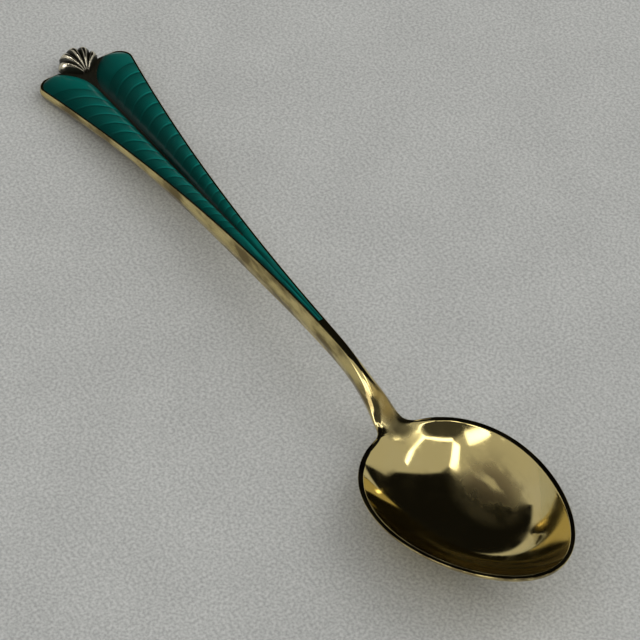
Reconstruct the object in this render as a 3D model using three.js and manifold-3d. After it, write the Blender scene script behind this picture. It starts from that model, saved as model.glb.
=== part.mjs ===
// Coffee spoon with an enamelled handle: a struck, gilt silver blank and one enamel inlay fused into it.
// Millimetres, +Z up, +X from the handle towards the bowl's tip, the spoon's plane of symmetry at y = 0.
// It lies on z = 0, on the worn flat under its bowl and on the lower edge of its handle plate.
// A station s is a distance along the spoon from the square end of the handle plate.
import * as THREE from "three";
import { mergeVertices } from "three/addons/utils/BufferGeometryUtils.js";
import Module from "manifold-3d";

// Handle and neck
const HANDLE_LENGTH = 68; // plate end to the root of the bowl
const END_WIDTH = 12.68; // top face at the plate end, before its corners are rounded
const STEM_TOP_WIDTH = 0.8; // top face where the flare has died out
const FLARE_LENGTH = 60.5; // over which the top face narrows
const CORNER_LENGTH = 2.1; // rounding of the plate's corners, along the spoon
const CORNER_WIDTH = 2.4; // and across it
const END_THICKNESS = 1.35;
const STEM_THICKNESS = 2.6;
const NECK_THICKNESS = 2.2;
const THICKENING_START = 14.5; // stations between which the plate swells to the stem
const THICKENING_END = 46.5;
const END_SPLAY = 0.15; // how far the sides lean out below the top face
const STEM_SPLAY = 0.5;
const END_TURN_IN = 0.3; // how far the sides come in again at the back
const STEM_TURN_IN = 0.12;
const CREST_STATION = 57.5; // highest place of the arch
const CREST_HEIGHT = 6.8;
const NECK_START = 58.5; // where the top face starts to widen towards the bowl
const NECK_TOP_FLARE = 0.85; // what each edge of the top face gains up to the bowl's root
const NECK_SPLAY = 0.5; // lean of the sides there
const ROOT_BEFORE = 3.5; // the neck starts to turn into the rim this far before the bowl's root
const ROOT_AFTER = 1.2; // and has done so this far after it
const NECK_FILLET = 1.1; // radius between neck and rim in plan, at the edge of the top face
const NECK_SIDE_FILLET = 1.8; // the same lower down, at the widest line and the back
const NECK_JOIN = 0.3; // width over which these fillets run out into the rim

// Bowl
const BOWL_LENGTH = 27.5;
const BOWL_WIDTH = 18.0;
const BOWL_DEPTH = 4.82; // hollow, below the inner edge of the lip at mid-length
const BOWL_WALL = 0.8; // at the bottom
const LIP_WIDTH = 0.5;
const LIP_DROP = 0.06; // the lip leans in by this much
const RIM_EDGE = 0.5; // height of the rim's outer edge
const RIM_TIP_RISE = 3.85; // tip of the rim above its middle
const RIM_ROOT_DROP = 2.5; // root of the rim below its middle
const FLAT_DEPTH = 0.12; // worn off under the bowl
const HEEL_DEPTH = 0.6; // of the drop by which the neck runs out under the bowl
const HEEL_OFFSET = 1.3; // its deepest place, past the root
const HEEL_REACH = 2.4; // over which it rises towards the neck
const HEEL_RUN_OUT = 4.2; // and dies out in the bowl
const HEEL_WIDTH = 1.5;

// Enamel, its recess and the bare groove between its lobes
const BORDER = 0.22; // metal left outside the enamel
const LOBE_START = 0.22; // station where the enamel begins
const ENAMEL_END = 53.75;
const ENAMEL_THICKNESS = 0.35;
const ENAMEL_CROWN = 0.34; // of a lobe where it is widest
const ENAMEL_CLEARANCE = 0.04; // all round, so that the two bodies stay separate
const LOBE_ROUND_LENGTH = 5.4; // rounding of a lobe's end towards the shell
const LOBE_TIP_WIDTH = 0.6; // straight end between that rounding and the outer corner
const GROOVE_END = 37.55;
const GROOVE_WIDTH = 0.5; // by the shell
const GROOVE_END_WIDTH = 0.16;
const GROOVE_SINK = 0.22; // drop of the enamel's edge beside the groove
const GROOVE_DEPTH = 0.3; // of the groove below that edge
const NOTCH_WIDTH = 6.6; // of the hollow that the shell sits in

// Shell
const SHELL_RIBS = 5;
const RIB_ANGLE = THREE.MathUtils.degToRad(15.5);
const SHELL_APEX = 3.6; // station of the point that the ribs spread from
const SHELL_RADIUS = 6.2; // apex to the tip of the middle rib
const SHELL_SHORTENING = 2.3; // by which the radius is less at the outer edges of the fan
const SHELL_HEIGHT = 1.6; // above the handle's top face
const SHELL_THICKNESS = 0.4; // below it, where the shell stands out past the plate
const SHELL_ROOT = 0.5; // radius at which the ribs start
const RIB_RELIEF = 0.6;
const SCALLOP = 0.5; // depth of the notches between the ribs' tips

// Shape exponents, shares and facet counts
const FLARE_POWER = 2.04;
const ARCH_POWER = 1.25;
const NECK_POWER = 2.4;
const LOBE_POWER = 2.6;
const EGG = 0.17; // how much blunter the bowl is at its root than at its tip
const HOLLOW_POWER = 2.4;
const BACK_POWER = 2.3;
const HOLLOW_SOFTNESS = 0.25; // of the bowl's edge where the neck pours into it
const HOLLOW_RUN_IN = 9; // over which that softness dies out in the bowl
const FILLET_REACH = 0.95; // share of a quarter circle after which a fillet touches the rim
const UPPER_SIDE_SHARE = 0.46; // of the thickness, above the widest line
const BACK_CROWN_SHARE = 0.12;
const RUN_OUT = 4; // slope at which neck and rim fall away inside each other
const SHELL_PEAK = 0.68; // share of the radius at which the shell is highest
const SHELL_TIP = 0.96; // how fully the ribs round off at their tips
const RIB_POWER = 0.7;
const CORNER_STEPS = 5;
const HANDLE_STEPS = 22;
const NECK_STEPS = 12;
const BOWL_STEPS = 30;
const FACE_COLUMNS = 16;
const LOBE_COLUMNS = 6;
const LOBE_STEPS = 36;
const RIB_COLUMNS = 6;
const SHELL_RINGS = 9;

const { clamp, lerp, smoothstep } = THREE.MathUtils;
const wasm = await Module();
wasm.setup();

// Larger of two values, with the corner between them rounded off over the width k.
function softMax(a, b, k) {
  const overlap = Math.max(k - Math.abs(a - b), 0) / k;
  return Math.max(a, b) + (overlap * overlap * k) / 4;
}

// Positive part of t, rounded off near zero by the width k.
const softRamp = (t, k) => (t + Math.hypot(t, k)) / 2;

const steps = (count) => Array.from({ length: count + 1 }, (_, i) => i / count);

// Outlines of the bowl. c runs from -1 at its root to 1 at its tip.
const bowlReach = BOWL_LENGTH / 2;
const bowlMiddle = HANDLE_LENGTH + bowlReach;
const alongBowl = (s) => (s - bowlMiddle) / bowlReach;
const widestAt = (1 - Math.sqrt(1 + 8 * EGG * EGG)) / (4 * EGG);
const bowlHalfWidth = BOWL_WIDTH / 2 / (Math.sqrt(1 - widestAt ** 2) * (1 - EGG * widestAt));

// Half the width of an egg set in from the rim: negative, and steeply so, outside the bowl.
function eggHalf(s, inset) {
  const c = alongBowl(s);
  return (bowlHalfWidth - inset) * Math.sign(1 - c * c) * Math.sqrt(Math.abs(1 - c * c)) * (1 - EGG * c);
}

// Share of the way from the bowl's middle, 0, to that egg, 1.
function eggRadius(s, y, inset) {
  const c = (s - bowlMiddle) / (bowlReach - inset);
  return Math.hypot(c, y / ((bowlHalfWidth - inset) * (1 - EGG * c)));
}

// The rim is a shallow arc in side view. Its height puts the lowest point of the back on the flat.
const rimTilt = (RIM_TIP_RISE + RIM_ROOT_DROP) / 2;
const rimBow = (RIM_TIP_RISE - RIM_ROOT_DROP) / 2;
const rimArc = (c) => rimTilt * c + rimBow * c * c;
const backDepth = BOWL_DEPTH + BOWL_WALL + LIP_DROP - RIM_EDGE;
const lowestBack = Math.min(
  ...steps(400).map((t) => {
    const c = 2 * t - 1;
    return rimArc(c) - RIM_EDGE - backDepth * (1 - Math.abs(c) ** BACK_POWER);
  }),
);
const rimHeight = (s) => rimArc(alongBowl(s)) - lowestBack - FLAT_DEPTH;

// How far the cross-section at s has become the bowl's: 0 at the root, 1 once the rim is clear of the neck.
const bowlShare = (s) => smoothstep(s, HANDLE_LENGTH, HANDLE_LENGTH + 2 * NECK_FILLET);
const neckShare = (s) => clamp((s - NECK_START) / (HANDLE_LENGTH - NECK_START), 0, 1);
const rootShare = (s) => smoothstep(s, HANDLE_LENGTH - ROOT_BEFORE, HANDLE_LENGTH + ROOT_AFTER);

// Handle and neck: half the width of the top face, thickness, lean of the sides and height of the top face.
function flareHalf(s) {
  const left = clamp(1 - s / FLARE_LENGTH, 0, 1) ** FLARE_POWER;
  return STEM_TOP_WIDTH / 2 + ((END_WIDTH - STEM_TOP_WIDTH) / 2) * left;
}

function cornerCut(s) {
  const left = clamp(1 - s / CORNER_LENGTH, 0, 1);
  return CORNER_WIDTH * (1 - Math.sqrt(1 - left * left));
}

// Station, close to the bowl's root, at which the rim has the half-width given.
function rimStation(half) {
  const share = half / (bowlHalfWidth * (1 + EGG));
  return bowlMiddle - bowlReach * Math.sqrt(1 - share * share);
}

// Half-width of handle and neck. A circle widens the neck until it touches the rim, and runs out there.
function stemHalf(s, lean, radius) {
  const straight = flareHalf(s) - cornerCut(s) + NECK_TOP_FLARE * neckShare(s) ** 2 + lean;
  const widening = (u) => radius * (1 - Math.sqrt(1 - u * u));
  const end = rimStation(STEM_TOP_WIDTH / 2 + NECK_TOP_FLARE + lean + widening(FILLET_REACH));
  const u = clamp((s - end) / radius + FILLET_REACH, 0, FILLET_REACH);
  return straight + widening(u) - RUN_OUT * Math.max(s - end, 0);
}

const swell = (s) => smoothstep(s, THICKENING_START, THICKENING_END);

function thickness(s) {
  const handle = lerp(END_THICKNESS, STEM_THICKNESS, swell(s));
  return lerp(handle, NECK_THICKNESS, smoothstep(s, NECK_START, HANDLE_LENGTH));
}

// The back is flat under the plate and rounds as it becomes the stem.
const backCrown = (s) => BACK_CROWN_SHARE * thickness(s) * swell(s);

const splay = (s) => lerp(lerp(END_SPLAY, STEM_SPLAY, swell(s)), NECK_SPLAY, neckShare(s) ** 2);

const turnIn = (s) => lerp(END_TURN_IN, STEM_TURN_IN, swell(s));

function stemTop(s) {
  if (s < CREST_STATION) {
    const left = Math.max(1 - s / CREST_STATION, 0) ** ARCH_POWER;
    return lerp(CREST_HEIGHT, END_THICKNESS, left);
  }
  const fall = CREST_HEIGHT - rimHeight(HANDLE_LENGTH) + LIP_DROP;
  const u = (s - CREST_STATION) / (HANDLE_LENGTH - CREST_STATION);
  return CREST_HEIGHT - fall * u ** NECK_POWER;
}

// The four lines that run the length of the blank, as [half-width, height, distance set in at the tip]:
// the edge of the top face turns into the inner edge of the lip, the widest line of the stem into the
// outer edge of the rim, and the edge of the back into the lower edge of the rim.
function topLine(s) {
  return {
    half: softMax(stemHalf(s, 0, NECK_FILLET), eggHalf(s, LIP_WIDTH), NECK_JOIN),
    height: lerp(stemTop(s), rimHeight(s) - LIP_DROP, rootShare(s)),
    inset: LIP_WIDTH,
  };
}

function widestLine(s) {
  return {
    half: softMax(stemHalf(s, splay(s), NECK_SIDE_FILLET), eggHalf(s, 0), NECK_JOIN),
    height: lerp(stemTop(s) - UPPER_SIDE_SHARE * thickness(s), rimHeight(s), rootShare(s)),
    inset: 0,
  };
}

function backLine(s) {
  const lift = thickness(s) - backCrown(s);
  const stem = stemHalf(s, splay(s) - turnIn(s), NECK_SIDE_FILLET);
  return {
    half: softMax(stem, eggHalf(s, STEM_TURN_IN), NECK_JOIN),
    height: lerp(stemTop(s) - lift, rimHeight(s) - RIM_EDGE, rootShare(s)),
    inset: STEM_TURN_IN,
  };
}

// Place of a point at the share q of a line's half-width, before the bowl is hollowed.
function pointOnLine(line, s, q) {
  const pullBack = line.inset * clamp(alongBowl(s), -1, 1) * bowlShare(s);
  return new THREE.Vector3(s - pullBack, q * Math.max(line.half, 0), line.height);
}

// Depth of the bowl's hollow, or of its back, below the edge line. Towards the neck it starts softly.
function sunk(point, q, inset, depth, power) {
  const rising = smoothstep(point.x, NECK_START, HANDLE_LENGTH);
  const falling = 1 - smoothstep(point.x, HANDLE_LENGTH, HANDLE_LENGTH + HOLLOW_RUN_IN);
  const softness = HOLLOW_SOFTNESS * rising * falling * (1 - q * q);
  return depth * softRamp(1 - eggRadius(point.x, point.y, inset) ** power, softness);
}

function topPoint(s, q) {
  const point = pointOnLine(topLine(s), s, q);
  point.z -= sunk(point, q, LIP_WIDTH, BOWL_DEPTH, HOLLOW_POWER);
  return point;
}

// Drop under the bowl's root, in which the back of the neck runs out.
function heel(point) {
  const deepest = HANDLE_LENGTH + HEEL_OFFSET;
  const rising = smoothstep(point.x, deepest - HEEL_REACH, deepest);
  const falling = 1 - smoothstep(point.x, deepest, deepest + HEEL_RUN_OUT);
  return HEEL_DEPTH * rising * falling * Math.exp(-((point.y / HEEL_WIDTH) ** 2));
}

function backPoint(s, q) {
  const point = pointOnLine(backLine(s), s, q);
  const crown = backCrown(s) * (1 - bowlShare(s)) * (1 - q * q);
  point.z -= crown + heel(point) + sunk(point, q, STEM_TURN_IN, backDepth, BACK_POWER);
  return point;
}

// Solid between two sheets of points, upper[i][j] and lower[i][j], with i along +X and j along +Y,
// closed round its four borders. Points that fall together are merged.
function solidBetween(upper, lower) {
  const rows = upper.length - 1;
  const columns = upper[0].length - 1;
  const top = (i, j) => i * (columns + 1) + j;
  const low = (i, j) => (rows + 1) * (columns + 1) + top(i, j);
  const corners = [];
  const quad = (a, b, c, d) => corners.push(a, b, c, a, c, d);
  for (let i = 0; i < rows; i++) {
    for (let j = 0; j < columns; j++) {
      quad(top(i, j), top(i + 1, j), top(i + 1, j + 1), top(i, j + 1));
      quad(low(i, j), low(i, j + 1), low(i + 1, j + 1), low(i + 1, j));
    }
    quad(top(i + 1, 0), top(i, 0), low(i, 0), low(i + 1, 0));
    quad(top(i, columns), top(i + 1, columns), low(i + 1, columns), low(i, columns));
  }
  for (let j = 0; j < columns; j++) {
    quad(top(0, j), top(0, j + 1), low(0, j + 1), low(0, j));
    quad(top(rows, j + 1), top(rows, j), low(rows, j), low(rows, j + 1));
  }
  const points = [...upper.flat(), ...lower.flat()];
  const sheet = new THREE.BufferGeometry().setFromPoints(points).setIndex(corners);
  return toSolid(mergeVertices(sheet, 1e-3));
}

function toSolid(geometry) {
  const index = geometry.index.array;
  const kept = [];
  for (let i = 0; i < index.length; i += 3) {
    const [a, b, c] = index.subarray(i, i + 3);
    if (a !== b && b !== c && c !== a) kept.push(a, b, c);
  }
  const vertProperties = geometry.getAttribute("position").array;
  return new wasm.Manifold(new wasm.Mesh({ numProp: 3, vertProperties, triVerts: new Uint32Array(kept) }));
}

// Stations of the blank's cross-sections, closer together where its outline turns.
function blankStations() {
  const corner = steps(CORNER_STEPS).map((t) => CORNER_LENGTH * (1 - Math.cos((t * Math.PI) / 2)));
  const handle = steps(HANDLE_STEPS).map((t) => lerp(CORNER_LENGTH, NECK_START, t));
  const neck = steps(NECK_STEPS).map((t) => lerp(HANDLE_LENGTH, NECK_START, (1 - t) ** 2));
  const bowl = steps(BOWL_STEPS).map((t) => bowlMiddle - bowlReach * Math.cos(t * Math.PI));
  return [...corner, ...handle.slice(1), ...neck.slice(1), ...bowl.slice(1)];
}

// Bowl, neck, stem and handle plate: one loft whose top face becomes the hollow of the bowl.
function makeBlankBody() {
  const shares = steps(FACE_COLUMNS).map((t) => -Math.cos(t * Math.PI));
  const section = (s, facePoint) => {
    const side = (q) => pointOnLine(widestLine(s), s, q);
    return [side(-1), ...shares.map((q) => facePoint(s, q)), side(1)];
  };
  const stations = blankStations();
  return solidBetween(
    stations.map((s) => section(s, topPoint)),
    stations.map((s) => section(s, backPoint)),
  );
}

// Block under the bowl, up to z = 0: it cuts the worn flat that the spoon rests on.
function makeFlatCutter() {
  const block = new THREE.BoxGeometry(BOWL_LENGTH, BOWL_WIDTH, BOWL_WALL);
  block.translate(bowlMiddle, 0, -BOWL_WALL / 2);
  block.deleteAttribute("normal");
  block.deleteAttribute("uv");
  return toSolid(mergeVertices(block));
}

// Plan of one enamel lobe: its outer edge inside the metal border, and its edge by the shell and groove.
const lobeOuter = (s) => flareHalf(s) - BORDER - cornerCut(s - LOBE_START);

function lobeInner(s) {
  const round = clamp(1 - (s - LOBE_START) / LOBE_ROUND_LENGTH, 0, 1) ** LOBE_POWER;
  const groove = lerp(GROOVE_WIDTH, GROOVE_END_WIDTH, clamp(s / GROOVE_END, 0, 1)) / 2;
  return lerp(groove, lobeOuter(LOBE_START) - LOBE_TIP_WIDTH, round);
}

// The lobe's edge sinks towards the groove. The sinking dies out at both ends of the groove.
function grooveSink(s) {
  const starts = smoothstep(s, LOBE_START, LOBE_ROUND_LENGTH);
  return GROOVE_SINK * starts * (1 - smoothstep(s, GROOVE_END / 2, GROOVE_END));
}

// Height of the enamel above the handle's top face at the share q from the groove to the outer edge.
function lobeRise(s, q) {
  const widest = (END_WIDTH - CORNER_WIDTH) / 2;
  const crown = (ENAMEL_CROWN * (lobeOuter(s) - lobeInner(s))) / widest;
  return crown * 4 * q * (1 - q) - grooveSink(s) * (1 - q) ** 3;
}

// One half of the enamel, or with growth the cutter for its recess, on the side given by the sign.
// Past the groove's end each half reaches just over the middle, so that the two join in a tongue.
function makeLobe(sign, growth, headroom) {
  const joined = GROOVE_END + GROOVE_WIDTH;
  const along = steps(LOBE_STEPS).map((t) => lerp(LOBE_START, ENAMEL_END, t ** 1.6));
  const across = steps(LOBE_COLUMNS);
  const sheet = (rise) =>
    along.map((s, i) => {
      const end = i === 0 ? -growth : i === LOBE_STEPS ? growth : 0;
      const apart = 1 - smoothstep(s, GROOVE_END, joined);
      const inner = lobeInner(s) * apart - growth - ENAMEL_CLEARANCE * (1 - apart);
      const outer = lobeOuter(s) + growth;
      const row = across.map((q) => {
        const y = sign * lerp(inner, outer, q);
        return new THREE.Vector3(s + end, y, topLine(s).height + rise(s, q));
      });
      return sign > 0 ? row : row.reverse();
    });
  return solidBetween(
    sheet((s, q) => lobeRise(s, q) + headroom),
    sheet((s, q) => lobeRise(s, q) - ENAMEL_THICKNESS - growth),
  );
}

// Cutter for the bare groove, which opens into the notch that holds the shell.
function makeGrooveCutter() {
  const along = steps(LOBE_STEPS).map((t) => lerp(-SHELL_RADIUS, GROOVE_END, t ** 0.8));
  const across = [-1, -0.5, 0, 0.5, 1];
  const sheet = (rise) =>
    along.map((s) => {
      const half = Math.min(lobeInner(s), NOTCH_WIDTH / 2);
      const height = topLine(Math.max(s, 0)).height;
      return across.map((q) => new THREE.Vector3(s, q * half, height + rise(Math.max(s, 0), q)));
    });
  const fading = (s) => 1 - smoothstep(s, GROOVE_END / 2, GROOVE_END);
  return solidBetween(
    sheet(() => SHELL_HEIGHT),
    sheet((s, q) => -grooveSink(s) - GROOVE_DEPTH * (1 - Math.abs(q)) * lerp(0.2, 1, fading(s))),
  );
}

// Ribbed shell: a fan of round ribs with scalloped tips, domed along its radius.
function makeShell() {
  const spread = (SHELL_RIBS * RIB_ANGLE) / 2;
  const angles = steps(SHELL_RIBS * RIB_COLUMNS).map((t) => spread * (2 * t - 1));
  const ribHeight = (angle) => Math.abs(Math.cos(((angle + spread) / RIB_ANGLE - 0.5) * Math.PI)) ** RIB_POWER;
  const foot = -GROOVE_DEPTH;
  const rise = (angle, share) => {
    const swellUp = 1 - ((share - SHELL_PEAK) / SHELL_PEAK) ** 2;
    const tip = Math.sqrt(1 - SHELL_TIP * clamp((share - SHELL_PEAK) / (1 - SHELL_PEAK), 0, 1) ** 2);
    const relief = RIB_RELIEF * (1 - ribHeight(angle)) * smoothstep(share, 0, SHELL_PEAK);
    return foot + (SHELL_HEIGHT - foot - relief) * swellUp * tip;
  };
  const sheet = (height) =>
    steps(SHELL_RINGS).map((t) =>
      angles.map((angle) => {
        const envelope = SHELL_RADIUS - SHELL_SHORTENING * (angle / spread) ** 2;
        const radius = lerp(envelope - SCALLOP * (1 - ribHeight(angle)), SHELL_ROOT, t);
        const s = SHELL_APEX - radius * Math.cos(angle);
        return new THREE.Vector3(s, radius * Math.sin(angle), height(s, angle, radius / envelope));
      }),
    );
  return solidBetween(
    sheet((s, angle, share) => topLine(Math.max(s, 0)).height + rise(angle, share)),
    sheet((s) => topLine(Math.max(s, 0)).height - SHELL_THICKNESS),
  );
}

// A solid as a named mesh, moved so that the middle of the spoon's length is at x = 0.
function asMesh(solid, name, material) {
  const { numProp, vertProperties, triVerts } = solid.getMesh();
  const geometry = new THREE.BufferGeometry();
  geometry.setAttribute("position", new THREE.BufferAttribute(vertProperties, numProp));
  geometry.setIndex(new THREE.BufferAttribute(triVerts, 1));
  const mesh = new THREE.Mesh(geometry, material);
  mesh.name = name;
  return mesh;
}

const gilt = new THREE.MeshStandardMaterial({ color: 0xc8b06a, roughness: 0.22, metalness: 1 });
const greenEnamel = new THREE.MeshStandardMaterial({ color: 0x04695c, roughness: 0.1, metalness: 0.2 });

const headroom = 2 * SHELL_HEIGHT;
const recess = makeLobe(1, ENAMEL_CLEARANCE, headroom).add(makeLobe(-1, ENAMEL_CLEARANCE, headroom));
const body = makeBlankBody().subtract(makeFlatCutter());
const blank = body.subtract(makeGrooveCutter()).add(makeShell()).subtract(recess);
const enamel = makeLobe(1, 0, 0).add(makeLobe(-1, 0, 0));

const spoon = new THREE.Group();
spoon.add(asMesh(blank, "spoon_blank", gilt));
spoon.add(asMesh(enamel, "enamel_inlay", greenEnamel));
spoon.position.x = -(HANDLE_LENGTH + BOWL_LENGTH - (SHELL_RADIUS - SHELL_APEX)) / 2;

export default spoon;
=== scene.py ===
# %% [markdown]
# # A coffee spoon with an enamelled handle
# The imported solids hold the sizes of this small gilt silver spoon. Here each piece is worked out once more
# on a fine grid, so that its edges are rounded, its enamel shows the engraved waves and its metal shows its
# patina. Everything is in millimetres until a mesh is made, and meshes are in metres.

import bmesh
import bpy
import numpy as np
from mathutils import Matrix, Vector


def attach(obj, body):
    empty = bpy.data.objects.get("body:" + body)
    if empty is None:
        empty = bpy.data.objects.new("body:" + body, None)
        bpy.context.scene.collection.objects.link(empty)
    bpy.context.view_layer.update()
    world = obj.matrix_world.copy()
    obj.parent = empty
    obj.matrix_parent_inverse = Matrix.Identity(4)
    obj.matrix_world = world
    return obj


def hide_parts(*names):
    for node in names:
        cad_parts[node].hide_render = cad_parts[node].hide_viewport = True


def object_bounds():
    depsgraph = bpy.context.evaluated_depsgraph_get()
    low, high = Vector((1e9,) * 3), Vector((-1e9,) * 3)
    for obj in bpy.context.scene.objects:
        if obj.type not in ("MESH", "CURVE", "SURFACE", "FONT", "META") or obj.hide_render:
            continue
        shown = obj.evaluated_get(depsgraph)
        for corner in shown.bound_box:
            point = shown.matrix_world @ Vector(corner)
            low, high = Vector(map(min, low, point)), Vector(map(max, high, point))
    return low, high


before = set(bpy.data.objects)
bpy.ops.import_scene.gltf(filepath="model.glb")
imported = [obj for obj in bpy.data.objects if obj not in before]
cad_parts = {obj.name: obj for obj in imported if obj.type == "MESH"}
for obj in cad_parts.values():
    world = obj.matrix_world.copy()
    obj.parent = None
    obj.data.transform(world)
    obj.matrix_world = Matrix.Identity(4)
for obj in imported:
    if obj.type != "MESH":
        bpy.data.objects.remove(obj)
CAD_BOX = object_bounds()
MM = 0.001
print("CAD box in mm:", [round(v / MM, 2) for corner in CAD_BOX for v in corner])

# %% [markdown]
# ## Camera
# The spoon is seen from above the near side of its bowl, through a long lens that hardly narrows the far
# handle. A camera could be placed by hand in the viewport. Here its place comes from two angles and a
# distance round a point on the spoon, which is easy to read and to change.

# %% Camera
VIEW_AZIMUTH = 58.0
VIEW_ELEVATION = 47.7
VIEW_DISTANCE = 277.7
VIEW_TARGET = (4.5, 1.67, 3.0)
SENSOR_WIDTH = 36.0
FOCAL_WIDTHS = 4.06  # focal length, in widths of the picture


def direction(azimuth, elevation):
    """Unit vector towards two angles in degrees: azimuth 0 is -Y and 90 is +X, elevation is over z = 0."""
    a, e = np.radians([azimuth, elevation])
    return np.array([np.sin(a) * np.cos(e), -np.cos(a) * np.cos(e), np.sin(e)])


camera = bpy.data.objects.new("camera", bpy.data.cameras.new("camera"))
bpy.context.scene.collection.objects.link(camera)
bpy.context.scene.camera = camera
camera.data.sensor_width = SENSOR_WIDTH
camera.data.lens = FOCAL_WIDTHS * SENSOR_WIDTH
camera.data.clip_start = VIEW_DISTANCE * MM / 100
towards_camera = direction(VIEW_AZIMUTH, VIEW_ELEVATION)
camera.location = (np.array(VIEW_TARGET) + VIEW_DISTANCE * towards_camera) * MM
camera.rotation_euler = Vector(-towards_camera).to_track_quat("-Z", "Y").to_euler()
print("camera at", [round(v, 4) for v in camera.location], "m, lens", round(camera.data.lens, 1), "mm")

# %% [markdown]
# ## Outline of the bowl
# A spoon is easiest to describe by stations: a station s is a distance along it from the square end of the
# handle. The bowl's rim is an egg in plan, blunter at the root, and a shallow arc in side view. Subdividing
# a rough cage could give the same egg, but a formula lets rim, hollow and back share one outline.

# %% Outline of the bowl
HANDLE_LENGTH = 68.0
BOWL_LENGTH = 27.5
BOWL_WIDTH = 18.0
BOWL_DEPTH = 4.82
BOWL_WALL = 0.8
EGG = 0.17
LIP_WIDTH = 0.5
LIP_DROP = 0.06
RIM_EDGE = 0.5
RIM_TIP_RISE = 3.85
RIM_ROOT_DROP = 2.5
FLAT_DEPTH = 0.12
BACK_POWER = 2.3
HOLLOW_POWER = 2.4

SPOON_LENGTH = HANDLE_LENGTH + BOWL_LENGTH
PLATE_END_X = CAD_BOX[1].x / MM - SPOON_LENGTH
bowl_reach = BOWL_LENGTH / 2
bowl_middle = HANDLE_LENGTH + bowl_reach
widest_at = (1 - np.sqrt(1 + 8 * EGG**2)) / (4 * EGG)
bowl_half = BOWL_WIDTH / 2 / (np.sqrt(1 - widest_at**2) * (1 - EGG * widest_at))
rim_tilt = (RIM_TIP_RISE + RIM_ROOT_DROP) / 2
rim_bow = (RIM_TIP_RISE - RIM_ROOT_DROP) / 2
back_depth = BOWL_DEPTH + BOWL_WALL + LIP_DROP - RIM_EDGE


def mix(a, b, share):
    """Value at a share of the way from a to b."""
    return a + (b - a) * share


def smooth(x, start, end):
    """Smooth step: 0 before start, 1 after end, and 3t^2 - 2t^3 between them."""
    t = np.clip((x - start) / (end - start), 0, 1)
    return t * t * (3 - 2 * t)


def soft_max(a, b, width):
    """Larger of two values. Where they are less than a width apart, their corner is rounded by a parabola."""
    overlap = np.maximum(width - np.abs(a - b), 0) / width
    return np.maximum(a, b) + overlap**2 * width / 4


def along_bowl(s):
    """Share of the bowl's half-length: -1 at its root and 1 at its tip."""
    return (s - bowl_middle) / bowl_reach


def egg_half(s, inset):
    """Half-width of the egg set in from the rim: root of 1 - c^2, skewed by 1 - EGG c, negative outside."""
    c = along_bowl(s)
    return (bowl_half - inset) * np.sign(1 - c**2) * np.sqrt(np.abs(1 - c**2)) * (1 - EGG * c)


def egg_radius(s, y, inset):
    """Share of the way from the bowl's middle to that egg: the length of (c, y over the egg's half-width)."""
    c = (s - bowl_middle) / (bowl_reach - inset)
    return np.hypot(c, y / ((bowl_half - inset) * (1 - EGG * c)))


def rim_arc(c):
    """Height of the rim over its middle: tilt c + bow c^2."""
    return rim_tilt * c + rim_bow * c**2


c_line = np.linspace(-1, 1, 401)
lowest_back = np.min(rim_arc(c_line) - RIM_EDGE - back_depth * (1 - np.abs(c_line) ** BACK_POWER))


def rim_height(s):
    """Height of the rim, set so that the lowest point of the bowl's back lies on the table."""
    return rim_arc(along_bowl(s)) - lowest_back - FLAT_DEPTH


print("rim height at root and tip:", rim_height(np.array([HANDLE_LENGTH, SPOON_LENGTH])).round(2), "mm")

# %% [markdown]
# ## Outline of the handle
# The handle is a plate that narrows to a stem, swells in thickness, arches up and dips into the bowl. Three
# lines run along each side of the spoon: the edge of its top face, its widest line and the edge of its
# back. In the bowl they turn into the inner edge of the lip and the two edges of the rim, so one skin
# covers the whole blank.

# %% Outline of the handle
END_WIDTH = 12.68
STEM_TOP_WIDTH = 0.8
FLARE_LENGTH = 60.5
FLARE_POWER = 2.04
CORNER_LENGTH = 2.1
CORNER_WIDTH = 2.4
END_THICKNESS = 1.35
STEM_THICKNESS = 2.6
NECK_THICKNESS = 2.2
THICKENING = (14.5, 46.5)
END_SPLAY = 0.15
STEM_SPLAY = 0.5
NECK_SPLAY = 0.5
END_TURN_IN = 0.3
STEM_TURN_IN = 0.12
CREST_STATION = 57.5
CREST_HEIGHT = 6.8
ARCH_POWER = 1.25
NECK_START = 58.5
NECK_POWER = 2.4
NECK_TOP_FLARE = 0.85
ROOT_BEFORE = 3.5
ROOT_AFTER = 1.2
NECK_FILLET = 1.1
NECK_SIDE_FILLET = 1.8
NECK_JOIN = 0.3
FILLET_REACH = 0.95
RUN_OUT = 4.0  # slope at which a fillet falls away inside the rim
UPPER_SIDE_SHARE = 0.46
BACK_CROWN_SHARE = 0.12


def swell(s):
    """Share by which the plate has become the stem."""
    return smooth(s, *THICKENING)


def neck_share(s):
    """Share of the neck that lies behind station s."""
    return np.clip((s - NECK_START) / (HANDLE_LENGTH - NECK_START), 0, 1)


def root_share(s):
    """Share by which the neck has turned into the rim."""
    return smooth(s, HANDLE_LENGTH - ROOT_BEFORE, HANDLE_LENGTH + ROOT_AFTER)


def flare_half(s):
    """Half-width of the top face: that of the stem plus a power of the share of the flare that is left."""
    left = np.clip(1 - s / FLARE_LENGTH, 0, 1) ** FLARE_POWER
    return STEM_TOP_WIDTH / 2 + (END_WIDTH - STEM_TOP_WIDTH) / 2 * left


def corner_cut(s):
    """What a quarter ellipse takes off the half-width near the square end."""
    left = np.clip(1 - s / CORNER_LENGTH, 0, 1)
    return CORNER_WIDTH * (1 - np.sqrt(1 - left**2))


def thickness(s):
    """Plate, stem and neck thickness, joined by smooth steps."""
    handle = mix(END_THICKNESS, STEM_THICKNESS, swell(s))
    return mix(handle, NECK_THICKNESS, smooth(s, NECK_START, HANDLE_LENGTH))


def splay(s):
    """How far the sides lean out between the top face and the widest line."""
    return mix(mix(END_SPLAY, STEM_SPLAY, swell(s)), NECK_SPLAY, neck_share(s) ** 2)


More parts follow.
